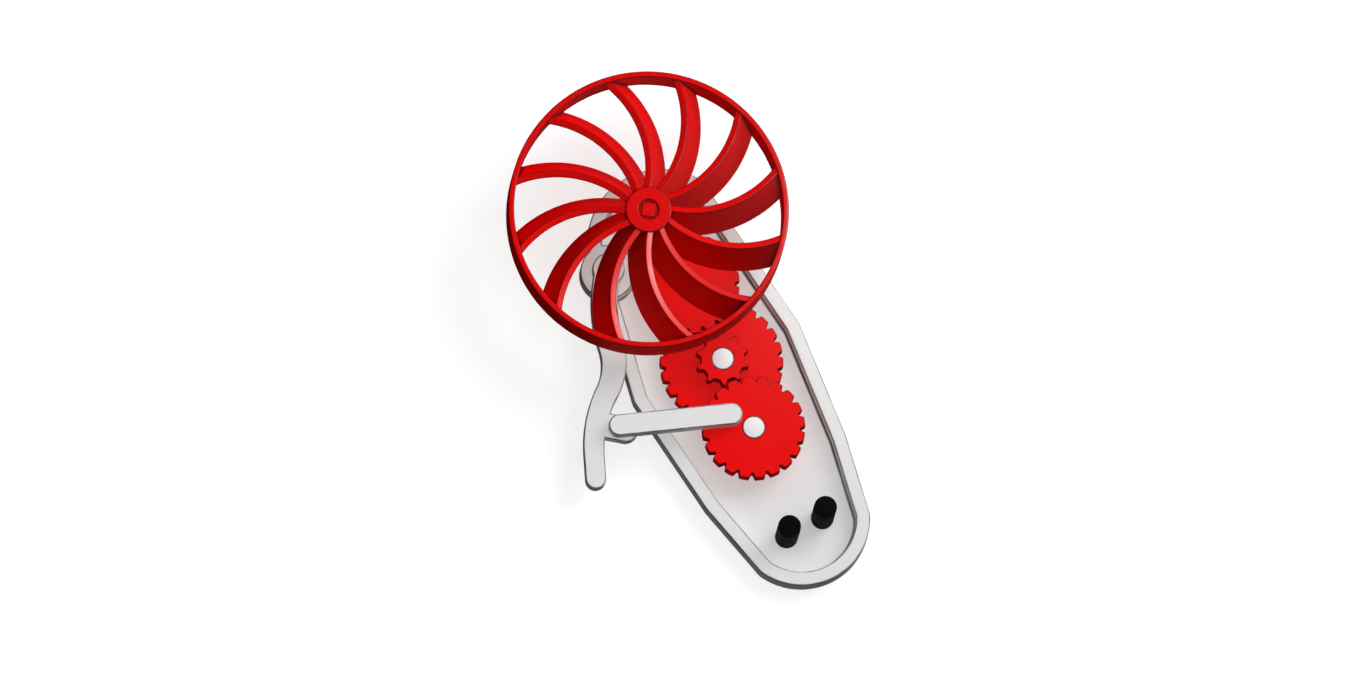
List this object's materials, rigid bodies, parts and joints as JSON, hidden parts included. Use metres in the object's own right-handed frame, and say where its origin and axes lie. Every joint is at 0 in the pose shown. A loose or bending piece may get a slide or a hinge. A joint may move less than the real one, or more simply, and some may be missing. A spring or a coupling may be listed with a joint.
{
  "type": "hand squeeze fan",
  "caption": "Hand fan with an open grip tray, a squeeze lever and link, and a gear train that spins a ringed wheel of curved blades in front of the tray.",
  "frame": {"origin": "on the back face and the grip's centre line, 0.7 mm below the centre of the grip's round end", "axes": "+Z leaves the front of the tray towards the fan wheel, +Y runs from the grip to the fan end"},
  "size_m": [0.0947, 0.1611, 0.0311],
  "materials": {
    "tray_white": "satin, light grey",
    "gear_red": "semi-gloss red",
    "post_black": "black",
    "pin_steel": "plain"
  },
  "bodies": {
    "tray": {"body_tray": "tray_white", "post_left": "post_black", "post_right": "post_black", "crank_axle": "tray_white", "middle_axle": "tray_white", "upper_axle": "tray_white", "crank_spacer": "tray_white", "fan_bush": "tray_white", "lever_pin": "tray_white"},
    "lever": {"lever": "tray_white", "link_pin": "pin_steel"},
    "link": {"link": "tray_white"},
    "crank": {"crank_gear": "gear_red", "crank_pin": "pin_steel"},
    "middle": {"big_gear": "gear_red", "middle_pinion": "gear_red"},
    "upper": {"upper_pinion": "gear_red", "upper_gear": "gear_red"},
    "fan": {"fan_pinion": "gear_red", "fan_shaft": "gear_red", "fan_wheel": "gear_red"}
  },
  "joints": [
    {"name": "fan_spin", "type": "hinge", "parent": "tray", "child": "fan", "pos_m": [0.00159, 0.09989, 0.0155], "axis": [0, 0, 1], "range_deg": [0, 960]},
    {"name": "upper_turn", "type": "hinge", "parent": "tray", "child": "upper", "pos_m": [0.00379, 0.0775, 0.00735], "axis": [0, 0, 1], "range_deg": [-480, 0]},
    {"name": "middle_turn", "type": "hinge", "parent": "tray", "child": "middle", "pos_m": [0.00184, 0.05282, 0.00735], "axis": [0, 0, 1], "range_deg": [0, 180]},
    {"name": "crank_turn", "type": "hinge", "parent": "tray", "child": "crank", "pos_m": [0, 0.0304, 0.00995], "axis": [0, 0, 1], "range_deg": [-90, 0]},
    {"name": "lever_squeeze", "type": "hinge", "parent": "tray", "child": "lever", "pos_m": [-0.01491, 0.09239, 0.0101], "axis": [0, 0, 1], "range_deg": [0, 13.5]},
    {"name": "link_swing", "type": "hinge", "parent": "lever", "child": "link", "pos_m": [-0.03523, 0.04914, 0.0148], "axis": [0, 0, 1], "range_deg": [-7.7, 0]}
  ],
  "couplings": [
    {"joint": "upper_turn", "follows": "fan_spin", "ratio": -0.5},
    {"joint": "middle_turn", "follows": "fan_spin", "ratio": 0.1875},
    {"joint": "crank_turn", "follows": "fan_spin", "ratio": -0.09375},
    {"joint": "lever_squeeze", "follows": "fan_spin", "ratio": 0.014063},
    {"joint": "link_swing", "follows": "fan_spin", "ratio": -0.0080156}
  ]
}
